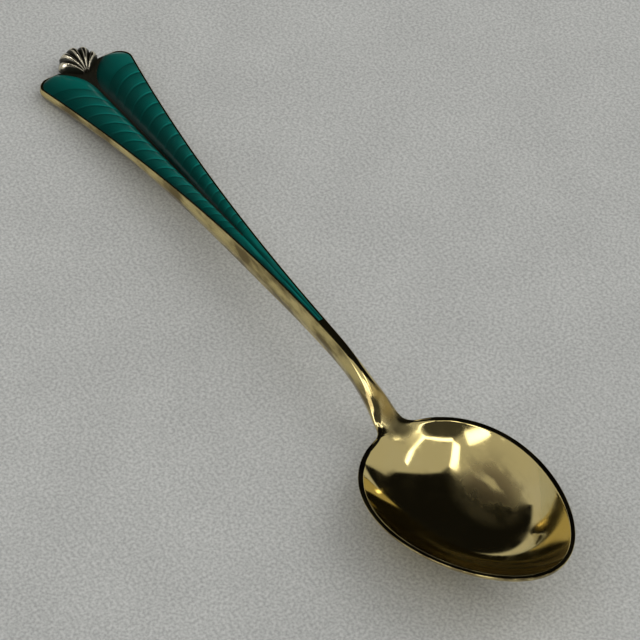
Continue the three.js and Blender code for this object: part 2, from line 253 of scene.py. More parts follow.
def stem_half(s, lean, radius):
    """Half-width of handle and neck: flare less corner, plus a lean and a circle that ends on the rim."""
    straight = flare_half(s) - corner_cut(s) + NECK_TOP_FLARE * neck_share(s) ** 2 + lean
    widest = radius * (1 - np.sqrt(1 - FILLET_REACH**2))
    meeting = (STEM_TOP_WIDTH / 2 + NECK_TOP_FLARE + lean + widest) / (bowl_half * (1 + EGG))
    end = bowl_middle - bowl_reach * np.sqrt(1 - meeting**2)
    u = np.clip((s - end) / radius + FILLET_REACH, 0, FILLET_REACH)
    return straight + radius * (1 - np.sqrt(1 - u**2)) - RUN_OUT * np.maximum(s - end, 0)


def stem_top(s):
    """Height of the top face: a power curve up to the crest, and another from there to the bowl's root."""
    rising = mix(CREST_HEIGHT, END_THICKNESS, np.maximum(1 - s / CREST_STATION, 0) ** ARCH_POWER)
    fall = CREST_HEIGHT - rim_height(HANDLE_LENGTH) + LIP_DROP
    u = np.maximum(s - CREST_STATION, 0) / (HANDLE_LENGTH - CREST_STATION)
    return np.where(s < CREST_STATION, rising, CREST_HEIGHT - fall * u**NECK_POWER)


def back_crown(s):
    """Roundness of the stem's back, which is flat under the plate."""
    return BACK_CROWN_SHARE * thickness(s) * swell(s)


def top_line(s):
    """Half-width and height of the edge of the top face, and then of the lip's inner edge."""
    half = soft_max(stem_half(s, 0, NECK_FILLET), egg_half(s, LIP_WIDTH), NECK_JOIN)
    return half, mix(stem_top(s), rim_height(s) - LIP_DROP, root_share(s))


def widest_line(s):
    """Half-width and height of the stem's widest line, and then of the rim's outer edge."""
    half = soft_max(stem_half(s, splay(s), NECK_SIDE_FILLET), egg_half(s, 0), NECK_JOIN)
    return half, mix(stem_top(s) - UPPER_SIDE_SHARE * thickness(s), rim_height(s), root_share(s))


def back_line(s):
    """Half-width and height of the edge of the back, and then of the rim's lower edge."""
    lean = splay(s) - mix(END_TURN_IN, STEM_TURN_IN, swell(s))
    half = soft_max(stem_half(s, lean, NECK_SIDE_FILLET), egg_half(s, STEM_TURN_IN), NECK_JOIN)
    lift = thickness(s) - back_crown(s)
    return half, mix(stem_top(s) - lift, rim_height(s) - RIM_EDGE, root_share(s))


probe = np.array([0.5, 20.0, 55.0])
print("top face is", (2 * top_line(probe)[0]).round(2), "mm wide at", probe)

# %% [markdown]
# ## Enamel lobes in plan
# Two lobes of enamel lie side by side, with a bare groove between them, and run together into one tongue.
# Their outer edge keeps a thin border of metal, their inner edge curls away round the shell. These few
# curves shape both the recess in the metal and the enamel in it.

# %% Enamel lobes in plan
BORDER = 0.22
LOBE_START = 0.22
ENAMEL_END = 53.75
ENAMEL_THICKNESS = 0.35
ENAMEL_CROWN = 0.34
LOBE_ROUND_LENGTH = 5.4
LOBE_TIP_WIDTH = 0.6
LOBE_POWER = 2.6
GROOVE_END = 37.55
GROOVE_WIDTH = 0.5
GROOVE_END_WIDTH = 0.16
GROOVE_SINK = 0.34
SHOULDER = 0.26
SHOULDER_SHARE = 0.24
GROOVE_CLOSED = GROOVE_END + GROOVE_WIDTH


def lobe_outer(s):
    """Outer edge of a lobe: the top face's edge less the border, with a corner cut like the plate's."""
    return flare_half(s) - BORDER - corner_cut(s - LOBE_START)


def lobe_inner(s):
    """Inner edge of a lobe: half the groove, swung out by a power round the shell, and 0 in the tongue."""
    left = np.clip(1 - (s - LOBE_START) / LOBE_ROUND_LENGTH, 0, 1) ** LOBE_POWER
    groove = mix(GROOVE_WIDTH, GROOVE_END_WIDTH, np.clip(s / GROOVE_END, 0, 1)) / 2
    apart = 1 - smooth(s, GROOVE_END, GROOVE_CLOSED)
    return apart * mix(groove, lobe_outer(np.array(LOBE_START)) - LOBE_TIP_WIDTH, left)


def groove_sink(s):
    """Drop of a lobe's edge beside the groove, which dies out at both ends of the groove."""
    starting = smooth(s, LOBE_START, LOBE_ROUND_LENGTH)
    ending = smooth(s, GROOVE_END / 2, GROOVE_END)
    return GROOVE_SINK * starting * (1 - ending)


def lobe_rise(s, q):
    """Height of a lobe over the top face: a parabola across it, less a sinking to the groove at q = 0."""
    widest = (END_WIDTH - CORNER_WIDTH) / 2
    crown = ENAMEL_CROWN * (lobe_outer(s) - lobe_inner(s)) / widest
    return crown * 4 * q * (1 - q) - groove_sink(s) * (1 - q) ** 2


def groove_shoulder(s, q):
    """Roll of a lobe into the groove: what is left of a narrow share, squared, times the sinking's share."""
    return SHOULDER * groove_sink(s) / GROOVE_SINK * np.clip(1 - q / SHOULDER_SHARE, 0, 1) ** 2


print("a lobe is", (lobe_outer(probe) - lobe_inner(probe)).round(2), "mm wide at", probe)

# %% [markdown]
# ## Closing two sheets into a solid
# Every piece here is a pair of sheets, an upper and a lower one, on the same grid of rows and columns.
# Walls round the four borders close them. Blender's Solidify could thicken one sheet, but then the
# underside could not have a shape of its own. Points that fall together, as at the bowl's tip, are merged
# afterwards.

# %% Closing two sheets into a solid
MERGE_DISTANCE = 1e-4
SHARP_ANGLE = 38.0


def grid_quads(rows, columns, first):
    """Corner numbers of the quads of a grid whose points are numbered row by row from first."""
    i, j = np.meshgrid(np.arange(rows - 1), np.arange(columns - 1), indexing="ij")
    a = first + i * columns + j
    return np.stack([a, a + columns, a + columns + 1, a + 1], -1).reshape(-1, 4)


def strip_quads(line_a, line_b):
    """Quads between two lines of point numbers."""
    return np.stack([line_a[:-1], line_a[1:], line_b[1:], line_b[:-1]], -1)


def solid_between(upper, lower):
    """Points and quads of the solid between two sheets (rows, columns, 3), rows along +X, columns +Y."""
    rows, columns = upper.shape[:2]
    top = np.arange(rows * columns).reshape(rows, columns)
    low = top + rows * columns
    quads = [
        grid_quads(rows, columns, 0),
        grid_quads(rows, columns, rows * columns)[:, ::-1],
        strip_quads(top[::-1, 0], low[::-1, 0]),
        strip_quads(top[:, -1], low[:, -1]),
        strip_quads(top[0], low[0]),
        strip_quads(top[-1, ::-1], low[-1, ::-1]),
    ]
    return np.concatenate([upper.reshape(-1, 3), lower.reshape(-1, 3)]), np.concatenate(quads)


def make_piece(name, points, quads, masks):
    """A smooth-shaded object of points in mm with float attributes, less the faces inside it on y = 0."""
    inside = np.all(np.abs(points[quads][..., 1]) < MERGE_DISTANCE, axis=1)
    mesh = bpy.data.meshes.new(name)
    mesh.from_pydata(points * MM, [], quads[~inside].tolist())
    for mask, values in masks.items():
        data = mesh.attributes.new(mask, "FLOAT", "POINT").data
        data.foreach_set("value", np.ravel(values).astype(np.float32))
    form = bmesh.new()
    form.from_mesh(mesh)
    bmesh.ops.remove_doubles(form, verts=form.verts, dist=MERGE_DISTANCE * MM)
    form.to_mesh(mesh)
    form.free()
    mesh.shade_smooth()
    mesh.set_sharp_from_angle(angle=np.radians(SHARP_ANGLE))
    piece = bpy.data.objects.new(name, mesh)
    bpy.context.scene.collection.objects.link(piece)
    print(name, "has", len(mesh.vertices), "points and", len(mesh.polygons), "faces")
    return piece


def mirrored(half):
    """A full sheet from its right half, whose first column is on y = 0 and whose last is the outermost."""
    return np.concatenate([half[:, :0:-1] * [1, -1, 1], half], axis=1)


# %% [markdown]
# ## Hollow, heel and rounded corners
# The real blank is cut from rolled silver and struck between dies, so its edges are crisp but never razor
# sharp. Each cross-section is drawn from the three lines. The bowl's hollow and back are sunk below them by
# a power of the egg's radius, a heel runs out under the root, and every corner is rounded by a small curve.
# A Bevel modifier could round the corners too, but not with a radius that changes along the spoon.

# %% Hollow, heel and rounded corners
HOLLOW_SOFTNESS = 0.25
HOLLOW_RUN_IN = 9.0
HEEL_DEPTH = 0.6
HEEL_OFFSET = 1.3
HEEL_REACH = 2.4
HEEL_RUN_OUT = 4.2
HEEL_WIDTH = 1.5
NECK_ROUND = 0.40
NECK_ROUND_RISE = (57.5, 64.0)
NECK_ROUND_FALL = (HANDLE_LENGTH - 1, HANDLE_LENGTH + 2)
NECK_ROUND_LEVEL = 0.3  # share of the half-width, squared, where the height stays


def place(line, s, inset, share):
    """Points of a line at shares of its half-width. In the bowl its tip is drawn back by the inset."""
    half, height = line(s)
    in_bowl = smooth(s, HANDLE_LENGTH, HANDLE_LENGTH + 2 * NECK_FILLET)
    x = s - inset * np.clip(along_bowl(s), -1, 1) * in_bowl
    y = share * np.maximum(half, 0)[:, None]
    return np.stack(np.broadcast_arrays(x[:, None], y, height[:, None]), -1)


def sunk(points, half, inset, depth, power):
    """Depth of the bowl below its edge: 1 - r^power of the egg's radius r, cut off softly at the neck."""
    x, y = points[..., 0], points[..., 1]
    q = y / np.maximum(half, MERGE_DISTANCE)[:, None]
    rising = smooth(x, NECK_START, HANDLE_LENGTH)
    falling = 1 - smooth(x, HANDLE_LENGTH, HANDLE_LENGTH + HOLLOW_RUN_IN)
    softness = HOLLOW_SOFTNESS * rising * falling * (1 - np.minimum(q**2, 1))
    fill = 1 - egg_radius(x, y, inset) ** power
    return depth * (fill + np.hypot(fill, softness)) / 2


def heel(points):
    """Drop under the bowl's root, where the neck's back runs out: a smooth hump along it, a bell across."""
    deepest = HANDLE_LENGTH + HEEL_OFFSET
    rising = smooth(points[..., 0], deepest - HEEL_REACH, deepest)
    falling = 1 - smooth(points[..., 0], deepest, deepest + HEEL_RUN_OUT)
    return HEEL_DEPTH * rising * falling * np.exp(-((points[..., 1] / HEEL_WIDTH) ** 2))


def neck_round(s, q):
    """Drop of the neck's top towards its edges, for it is round and not flat: q^2 less a level."""
    rising = smooth(s, *NECK_ROUND_RISE)
    falling = 1 - smooth(s, *NECK_ROUND_FALL)
    return NECK_ROUND * (rising * falling)[:, None] * (np.minimum(q**2, 1) - NECK_ROUND_LEVEL)


def rounded(before, corner, after, radius, count):
    """A corner rounded by the curve (1-t)^2 p + 2t(1-t) corner + t^2 q, p and q a radius away from it."""

    def towards(end):
        step = end - corner
        length = np.maximum(np.linalg.norm(step, axis=-1, keepdims=True), MERGE_DISTANCE)
        return corner + step * np.minimum(radius[:, None] / length, 0.5)

    t = np.linspace(0, 1, count)[:, None]
    p, q = towards(before)[:, None], towards(after)[:, None]
    return (1 - t) ** 2 * p + 2 * t * (1 - t) * corner[:, None] + t**2 * q


print("the heel is deepest", HEEL_OFFSET, "mm behind the bowl's root")

# %% [markdown]
# ## Top face with recess and groove
# The recess of the enamel and the groove between the lobes are sunk into the top face by the die. A boolean
# could cut them. Here they are columns of the same grid that step down, so the mesh stays clean, and rows
# lie close together wherever the spoon bends or steps.

# %% Top face with recess and groove
GROOVE_COLUMNS = 10
FLOOR_COLUMNS = 26
END_ROWS = 6
CORNER_ROWS = 22
HANDLE_ROWS = 190
NECK_ROWS = 70
NECK_CROWDING = 1.7
BOWL_ROWS = 150
END_ROUND = 0.16
RECESS_GAP = 0.02
WALL_STEP = 0.01
GROOVE_VALLEY = 0.16
VALLEY_END_SHARE = 0.2
GROOVE_CLEANED = 0.05
BORDER_PATINA = 0.25


def blank_stations():
    """Stations of the cross-sections: close at both ends, at the recess's ends and at the neck's fillets."""
    end = END_ROUND * (1 - np.cos(np.linspace(0, np.pi / 2, END_ROWS)))
    corner = CORNER_LENGTH * (1 - np.cos(np.linspace(0, np.pi / 2, CORNER_ROWS)))
    recess = [LOBE_START - RECESS_GAP, ENAMEL_END + RECESS_GAP]
    steps = [recess[0] - WALL_STEP, recess[0], recess[1], recess[1] + WALL_STEP]
    handle = np.linspace(CORNER_LENGTH, NECK_START, HANDLE_ROWS)
    neck = HANDLE_LENGTH + (NECK_START - HANDLE_LENGTH) * np.linspace(1, 0, NECK_ROWS) ** NECK_CROWDING
    bowl = bowl_middle - bowl_reach * np.cos(np.linspace(0, np.pi, BOWL_ROWS))
    return np.unique(np.concatenate([end, corner, steps, handle, neck, bowl]).round(5))


def face_half(s):
    """Right half of the top face, from the groove over the recess to the border, and its patina mask."""
    half, _ = top_line(s)
    lobe_s = np.clip(s, LOBE_START, ENAMEL_END)
    wall = RECESS_GAP + WALL_STEP / 2
    in_recess = (s >= LOBE_START - wall) & (s <= ENAMEL_END + wall)
    in_groove = (s < GROOVE_CLOSED)[:, None]
    inner = np.maximum(lobe_inner(lobe_s) - RECESS_GAP, 0)[:, None]
    outer = np.minimum(lobe_outer(lobe_s) + RECESS_GAP, half - BORDER / 2)[:, None]
    outer = np.where((s > ENAMEL_END)[:, None], half[:, None] - BORDER, outer)
    v = np.linspace(0, 1, GROOVE_COLUMNS)
    q = np.linspace(0, 1, FLOOR_COLUMNS)
    recess = mix(inner + WALL_STEP, outer - WALL_STEP, q)
    y = np.concatenate([inner * v, recess, outer, (outer + half[:, None]) / 2], 1)
    closed = smooth(s, GROOVE_END, GROOVE_CLOSED)[:, None]
    deep = mix(VALLEY_END_SHARE, 1, 1 - smooth(s, GROOVE_END / 2, GROOVE_END))[:, None]
    valley = -(groove_sink(lobe_s) + groove_shoulder(lobe_s, 0))[:, None] - GROOVE_VALLEY * (1 - v) * deep
    floor = lobe_rise(lobe_s[:, None], q) - ENAMEL_THICKNESS
    floor = np.where(in_recess[:, None], floor, 0)
    valley = np.where(in_groove, mix(valley, floor[:, :1], closed), floor[:, :1])
    border = np.zeros((len(s), 2))
    dirty = np.where(in_groove, 1 - GROOVE_CLEANED * v, 0)
    patina = np.concatenate([dirty, 0 * floor, BORDER_PATINA + border], 1)
    return y, np.concatenate([valley, floor, border], 1), patina


stations = blank_stations()
print("the blank has", len(stations), "cross-sections")

# %% [markdown]
# ## The struck blank
# Bowl, neck, stem and handle are one piece of metal, so they are one mesh: an upper sheet with the top face
# and the hollow, a lower sheet with the back, and both meet in the middle of the rounded side. Only the
# right half is worked out, and a mirror image gives the left.

# %% The struck blank
EDGE_COLUMNS = 5
RIM_COLUMNS = 7
EDGE_ROUND = 0.09
SIDE_ROUND = 0.4
BACK_ROUND = 0.5
LIP_ROUND = 0.14


def end_drop(s):
    """What a quarter circle takes off the plate's height at its square end."""
    left = np.clip(1 - s / END_ROUND, 0, 1)
    return END_ROUND * (1 - np.sqrt(1 - left**2))


def upper_face(s):
    """Top face and hollow: the top line's points, with recess, neck and bowl sunk, and the patina mask."""
    y, rise, patina = face_half(s)
    half, _ = top_line(s)
    across = y / np.maximum(half, MERGE_DISTANCE)[:, None]
    face = place(top_line, s, LIP_WIDTH, across)
    face[..., 2] += rise - neck_round(s, across) - sunk(face, half, LIP_WIDTH, BOWL_DEPTH, HOLLOW_POWER)
    face[..., 2] -= end_drop(s)[:, None]
    return face, patina


def lower_face(s, columns):
    """Back of the spoon: the back line's points, with crown, heel and bowl below it, cut by the table."""
    half, _ = back_line(s)
    share = np.linspace(0, 1, columns + 1)[:-1]
    back = place(back_line, s, STEM_TURN_IN, share)
    in_bowl = smooth(s, HANDLE_LENGTH, HANDLE_LENGTH + 2 * NECK_FILLET)
    crown = (back_crown(s) * (1 - in_bowl))[:, None] * (1 - share**2)
    back[..., 2] += end_drop(s)[:, None] - crown - heel(back)
    back[..., 2] -= sunk(back, half, STEM_TURN_IN, back_depth, BACK_POWER)
    back[..., 2] = np.maximum(back[..., 2], 0)
    return back


def blank_sheets(s):
    """Upper and lower sheet of the blank, patina and side masks: faces, then edges up to the widest line."""
    face, patina = upper_face(s)
    back = lower_face(s, face.shape[1])
    lines = ((top_line, LIP_WIDTH), (widest_line, 0), (back_line, STEM_TURN_IN))
    top_edge, side, back_edge = [place(line, s, inset, 1.0)[:, 0] for line, inset in lines]
    top_edge[:, 2] -= end_drop(s) + neck_round(s, np.ones((1, 1)))[:, 0]
    back_edge[:, 2] += end_drop(s)
    lip = smooth(s, HANDLE_LENGTH - NECK_FILLET, HANDLE_LENGTH + NECK_FILLET)
    side_round = mix(mix(END_ROUND, SIDE_ROUND, swell(s)), LIP_ROUND, lip)
    back_round = mix(mix(END_ROUND, BACK_ROUND, swell(s)), LIP_ROUND, lip)
    at_top = rounded(face[:, -1], top_edge, side, mix(EDGE_ROUND, LIP_ROUND, lip), EDGE_COLUMNS)
    at_side = rounded(top_edge, side, back_edge, side_round, RIM_COLUMNS)
    at_back = rounded(side, back_edge, back[:, -1], back_round, EDGE_COLUMNS)
    seam = RIM_COLUMNS // 2
    upper = np.concatenate([face, at_top, at_side[:, : seam + 1]], 1)
    lower = np.concatenate([back, at_back[:, ::-1], at_side[:, : seam - 1 : -1]], 1)
    mask = np.zeros(upper.shape[:2])
    mask[:, : patina.shape[1]] = patina
    edge = np.zeros(upper.shape[:2])
    edge[:, face.shape[1] + EDGE_COLUMNS // 2 :] = 1
    return upper, lower, mask, edge


def to_model(points):
    """Moves station coordinates to the model's own frame along X."""
    return points + [PLATE_END_X, 0, 0]


upper_half, lower_half, mask_half, edge_half = blank_sheets(stations)
points, quads = solid_between(to_model(mirrored(upper_half)), to_model(mirrored(lower_half)))
mask = np.concatenate([mask_half[:, :0:-1], mask_half], 1)
edge = np.concatenate([edge_half[:, :0:-1], edge_half], 1)
masks = {"patina": np.stack([mask, 0 * mask]), "side": np.stack([edge, edge])}
blank = make_piece("spoon_blank_struck", points, quads, masks)

# %% [markdown]
# ## The shell
# A ribbed shell fills the notch between the lobes and stands out past the end of the plate. It is struck
# with the blank, but as a fan it is far simpler in polar form: an angle picks the rib, a radius runs from
# its tip to the point that all ribs spread from. Round ribs, deep valleys and rounded tips make it glitter.

# %% The shell
SHELL_RIBS = 5
RIB_ANGLE = np.radians(21.5)
SHELL_APEX = 2.0
SHELL_RADIUS = 4.6
SHELL_SHORTENING = 1.5
SHELL_HEIGHT = 1.6
SHELL_ARCH = 0.45
SHELL_THICKNESS = 0.4
SHELL_ROOT = 0.5
SHELL_ROOT_DEPTH = 0.3
SHELL_PEAK = 0.68
RIB_RELIEF = 0.75
RIB_POWER = 0.7
TIP_FALL = 0.96
SCALLOP = 0.75
VALLEY_PATINA = 2.6
ROOT_PATINA = 0.5
# painted shade towards the tips of the ribs
TIP_SHADE = 0.4
TIP_START = 0.85
RIB_COLUMNS = 14
SHELL_RINGS = 30
shell_spread = SHELL_RIBS * RIB_ANGLE / 2


def rib_height(angle):
    """Roundness across a rib: a power of the cosine from its middle to the valley, 1 on top, 0 between."""
    return np.abs(np.cos(((angle + shell_spread) / RIB_ANGLE - 0.5) * np.pi)) ** RIB_POWER


def shell_sheets():
    """Upper and lower sheet of the fan, tips first, and a mask of patina in the valleys and painted shade at
    the tips.
    """
    angle = np.linspace(-shell_spread, shell_spread, SHELL_RIBS * RIB_COLUMNS + 1)[None]
    t = (1 - np.cos(np.linspace(0, np.pi / 2, SHELL_RINGS)))[:, None]
    rib = rib_height(angle)
    envelope = SHELL_RADIUS - SHELL_SHORTENING * (angle / shell_spread) ** 2
    radius = mix(envelope - SCALLOP * (1 - rib), SHELL_ROOT, t)
    share = radius / envelope
    s = SHELL_APEX - radius * np.cos(angle)
    y = radius * np.sin(angle)
    swell_up = 1 - ((share - SHELL_PEAK) / SHELL_PEAK) ** 2
    tip = np.sqrt(1 - TIP_FALL * np.clip((share - SHELL_PEAK) / (1 - SHELL_PEAK), 0, 1) ** 2)
    relief = RIB_RELIEF * (1 - rib) * smooth(share, 0, SHELL_PEAK)
    arched = SHELL_HEIGHT * (1 - SHELL_ARCH * (angle / shell_spread) ** 2)
    rise = -SHELL_ROOT_DEPTH + (arched + SHELL_ROOT_DEPTH - relief) * swell_up * tip
    height = stem_top(np.maximum(s, 0))
    upper = np.stack([s, y, height + rise], -1)
    lower = np.stack([s, y, height - SHELL_THICKNESS], -1)
    # valleys and root hold patina; towards the rib tips the mask adds painted shade
    patina = VALLEY_PATINA * (1 - rib) + ROOT_PATINA * (1 - share) + TIP_SHADE * smooth(share, TIP_START, 1)
    return upper, lower, np.clip(patina, 0, 1)


upper, lower, mask = shell_sheets()
points, quads = solid_between(to_model(upper), to_model(lower))
# the shell's underside is fully dark, so its tip walls get darker towards the bottom
masks = {"patina": np.stack([mask, np.ones_like(mask)]), "worn": np.ones(len(points))}
shell = make_piece("handle_shell", points, quads, masks)

# %% [markdown]
# ## The enamel
# Before enamelling, waves are engraved into the recess, and the clear green glass shows them like ripples
# under water. The rows of this grid follow the waves: each row is an arc that leaves the groove slanting
# and meets the outer edge square. So a wave's step falls exactly between two rows and stays crisp.

# %% The enamel
FIRST_WAVE = 3.45
LAST_WAVE = 36.0
WAVE_PITCH = 2.15
WAVE_PITCH_END = 1.35
PITCH_CHANGE = (17.0, 36.0)
WAVE_STEP = 0.055
WAVE_STEP_END_SHARE = 0.35
WAVE_FADE_START = 0.6 * LAST_WAVE
WAVE_CREST = 0.86
WAVE_SWEEP = 0.62
SWEEP_POWER = 2.2
WAVE_EDGE_SHARE = 0.12
SLOPE_ROWS = 6
FALL_ROWS = 7
LEAD_ROWS = 40
LEAD_CROWDING = 1.5
TONGUE_ROWS = 60
LOBE_COLUMNS = 36


def wave_stations():
    """Stations where the waves meet the outer edge, each a pitch after the last one."""
    found = [FIRST_WAVE]
    while found[-1] < LAST_WAVE:
        found.append(found[-1] + mix(WAVE_PITCH, WAVE_PITCH_END, smooth(found[-1], *PITCH_CHANGE)))
    return np.array(found)


def wave_rows():
    """Row stations, and the wave's number plus phase on each row. Rows are close where a wave falls."""
    waves = wave_stations()
    slope = np.linspace(0, WAVE_CREST, SLOPE_ROWS)
    fall = np.linspace(WAVE_CREST, 1, FALL_ROWS)[1:-1]
    number = (np.arange(len(waves) - 1)[:, None] + np.concatenate([slope, fall])).ravel()
    inside = np.interp(number, np.arange(len(waves)), waves)
    before = LOBE_START + (FIRST_WAVE - LOBE_START) * np.linspace(0, 1, LEAD_ROWS)[:-1] ** LEAD_CROWDING
    after = np.linspace(waves[-1], ENAMEL_END, TONGUE_ROWS)
    lead_in = (before - FIRST_WAVE) / WAVE_PITCH
    run_out = len(waves) - 1 + (after - waves[-1]) / WAVE_PITCH_END
    return np.concatenate([before, inside, after]), np.concatenate([lead_in, number, run_out])


def wave_relief(base, number, q):
    """Height of the engraved waves: a sawtooth of the phase that fades along the lobe and at its edges."""
    waved = ((number >= 0) & (base <= wave_stations()[-1]))[:, None]
    fade = 1 - smooth(base, WAVE_FADE_START, LAST_WAVE)[:, None]
    edge = smooth(q, 0, WAVE_EDGE_SHARE) * smooth(1 - q, 0, WAVE_EDGE_SHARE)
    phase = (number % 1)[:, None]
    wave = phase * (1 - smooth(phase, WAVE_CREST, 1))
    return np.where(waved, WAVE_STEP * mix(WAVE_STEP_END_SHARE, 1, fade) * edge * wave, 0)


def enamel_half():
    """Right lobe on rows swept back by a power of q: two sheets, wave number, share across, tilt to +Y."""
    base, number = wave_rows()
    q = np.linspace(0, 1, LOBE_COLUMNS)[None]
    width = (lobe_outer(base) - lobe_inner(base))[:, None]
    starting = smooth(base, LOBE_START, FIRST_WAVE)[:, None]
    ending = 1 - smooth(base, LAST_WAVE, ENAMEL_END)[:, None]
    s = base[:, None] + WAVE_SWEEP * width * starting * ending * (1 - q) ** SWEEP_POWER
    y = mix(lobe_inner(s), lobe_outer(s), q)
    relief = wave_relief(base, number, q) - groove_shoulder(s, q)
    height = stem_top(s)
    upper = np.stack([s, y, height + lobe_rise(s, q) + relief], -1)
    lower = np.stack([s, y, height + lobe_rise(s, q) - ENAMEL_THICKNESS], -1)
    roll = lobe_rise(s, q) - groove_shoulder(s, q)
    tilt = np.gradient(roll, axis=1) / np.maximum(np.gradient(y, axis=1), WALL_STEP)
    return upper, lower, np.broadcast_to(number[:, None], s.shape), np.broadcast_to(q, s.shape), tilt


def on_both_lobes(right, left):
    """Values on the four sheets: upper and lower of the right lobe, then of the left, columns reversed."""
    return np.stack([right, right, left[:, ::-1], left[:, ::-1]])


upper_half, lower_half, number_half, across_half, tilt_half = enamel_half()
right = solid_between(to_model(upper_half), to_model(lower_half))
flip = np.array([1, -1, 1])
left = solid_between(to_model(upper_half[:, ::-1] * flip), to_model(lower_half[:, ::-1] * flip))
points = np.concatenate([right[0], left[0]])
quads = np.concatenate([right[1], left[1] + len(right[0])])
masks = {
    "wave": on_both_lobes(number_half, number_half),
    "across": on_both_lobes(across_half, across_half),
    "tilt": on_both_lobes(-tilt_half, tilt_half),
}
enamel = make_piece("enamel_waves", points, quads, masks)

# %% [markdown]
# ## Node helpers
# Materials are small networks of nodes. A few helpers keep them readable: one adds a node and wires or sets
# its inputs, and the others do a sum, turn a range of values into a mask, mix colours or make noise. Wiring
# by hand in the Shader Editor gives the same networks.

# %% Node helpers


def node(tree, kind, inputs=(), **settings):
    """A new node. Inputs, by name or number, take sockets or plain values. Settings are its properties."""
    new = tree.nodes.new(kind)
    for name, value in settings.items():
        setattr(new, name, value)
    for name, value in dict(inputs).items():
        if isinstance(value, bpy.types.NodeSocket):
            tree.links.new(value, new.inputs[name])
        else:
            new.inputs[name].default_value = value
    return new


def sums(tree, operation, *values):
    """Output of a Math node."""
    return node(tree, "ShaderNodeMath", enumerate(values), operation=operation).outputs[0]


def times(tree, a, b):
    """Product of two values."""
    return sums(tree, "MULTIPLY", a, b)


def between(tree, value, low, high, to_low=0.0, to_high=1.0):
    """A smooth step of a value from low to high, as a number from to_low to to_high."""
    steps = {"Value": value, "From Min": low, "From Max": high, "To Min": to_low, "To Max": to_high}
    return node(tree, "ShaderNodeMapRange", steps, interpolation_type="SMOOTHSTEP").outputs[0]


def blended(tree, share, a, b):
    """Mix of two colours by a share."""
    return node(tree, "ShaderNodeMix", {0: share, 6: a, 7: b}, data_type="RGBA").outputs[2]


def tinted(tree, colour, factor):
    """A colour times a factor."""
    steps = {0: 1.0, 6: colour, 7: factor}
    return node(tree, "ShaderNodeMix", steps, data_type="RGBA", blend_type="MULTIPLY").outputs[2]


def attribute(tree, name):
    """Values of a piece's own attribute."""
    return node(tree, "ShaderNodeAttribute", attribute_name=name).outputs["Fac"]


def noise(tree, vector, size, detail=2.0, stretch=(1, 1, 1)):
    """Noise whose features are about a size in mm, stretched along an axis where its number is below 1."""
    scaled = node(tree, "ShaderNodeMapping", {"Vector": vector, "Scale": stretch}).outputs[0]
    steps = {"Vector": scaled, "Scale": 1 / (size * MM), "Detail": detail}
    return node(tree, "ShaderNodeTexNoise", steps).outputs["Fac"]


def new_material(name):
    """An empty material's tree and its Principled shader, already joined to the output."""
    material = bpy.data.materials.new(name)
    material.use_nodes = True
    return material, material.node_tree, material.node_tree.nodes["Principled BSDF"]


print("node helpers ready")

# %% [markdown]
# ## Handling marks
# A spoon that has been washed and wiped for decades is never evenly bright: there are cloudy smudges and
# fine hairlines. Metal and enamel both have them, so they are one node group. It puts out two masks, and
# each material decides how much they change its roughness and its bump.

# %% Handling marks
SMUDGE_RANGE = (0.42, 0.68)
SMUDGE_SWIRL = 0.6
HAIRLINE_WIDTH = 0.12
ALONG_STREAK = (0.04, 1, 1)
ALONG_RANGE = (0.62, 0.72)
ACROSS_STREAK = (1, 0.05, 1)
ACROSS_RANGE = (0.66, 0.74)
marks = bpy.data.node_groups.new("handling_marks", "ShaderNodeTree")
marks.interface.new_socket("Smudge Size", in_out="INPUT", socket_type="NodeSocketFloat")
marks.interface.new_socket("Smudge", in_out="OUTPUT", socket_type="NodeSocketFloat")
marks.interface.new_socket("Hairlines", in_out="OUTPUT", socket_type="NodeSocketFloat")
marks_in = node(marks, "NodeGroupInput")
marks_out = node(marks, "NodeGroupOutput")
place_on_piece = node(marks, "ShaderNodeTexCoord").outputs["Object"]
smudge_scale = sums(marks, "DIVIDE", 1 / MM, marks_in.outputs["Smudge Size"])
clouding = {"Vector": place_on_piece, "Scale": smudge_scale, "Detail": 4.0, "Distortion": SMUDGE_SWIRL}
cloud = node(marks, "ShaderNodeTexNoise", clouding).outputs["Fac"]
marks.links.new(between(marks, cloud, *SMUDGE_RANGE), marks_out.inputs["Smudge"])
along = between(marks, noise(marks, place_on_piece, HAIRLINE_WIDTH, 1.0, ALONG_STREAK), *ALONG_RANGE)
across = between(marks, noise(marks, place_on_piece, HAIRLINE_WIDTH, 1.0, ACROSS_STREAK), *ACROSS_RANGE)
marks.links.new(sums(marks, "MAXIMUM", along, across), marks_out.inputs["Hairlines"])


def add_marks(tree, smudge_size):
    """The handling marks group in a material, with its two masks."""
    group = node(tree, "ShaderNodeGroup", node_tree=marks)
    group.inputs["Smudge Size"].default_value = smudge_size
    return group.outputs["Smudge"], group.outputs["Hairlines"]


print("handling marks has", len(marks.nodes), "nodes")

# %% [markdown]
# ## Dirt, films and stains on the metal
# Dirt and tarnish stay in the groove and between the shell's ribs, where no cloth reaches, so the patina
# attribute holds them there; on the shell's tips the same attribute holds painted shade, and the shell's
# underside is dark throughout. Wiped films lie in the bowl, at its root and on the neck, and brown stains run
# along the sides. Such masks could be painted by hand. Here a film is a soft oval, broken up by streaky
# noise, so a few numbers place it.

# %% Dirt, films and stains on the metal
METAL_SMUDGE_SIZE = 2.6
SPECKLE_SIZE = 0.25
SPECKLE = 0.5
DIRT_RANGE = (0.25, 0.95)
WIPE_SIZE = 1.6
WIPE_STREAK = (0.35, 1, 1)
WIPE_RANGE = (0.36, 0.66)
FILM_MIDDLE = 0.3  # share of a film's reach that it covers fully
FILM_FULL = 0.8
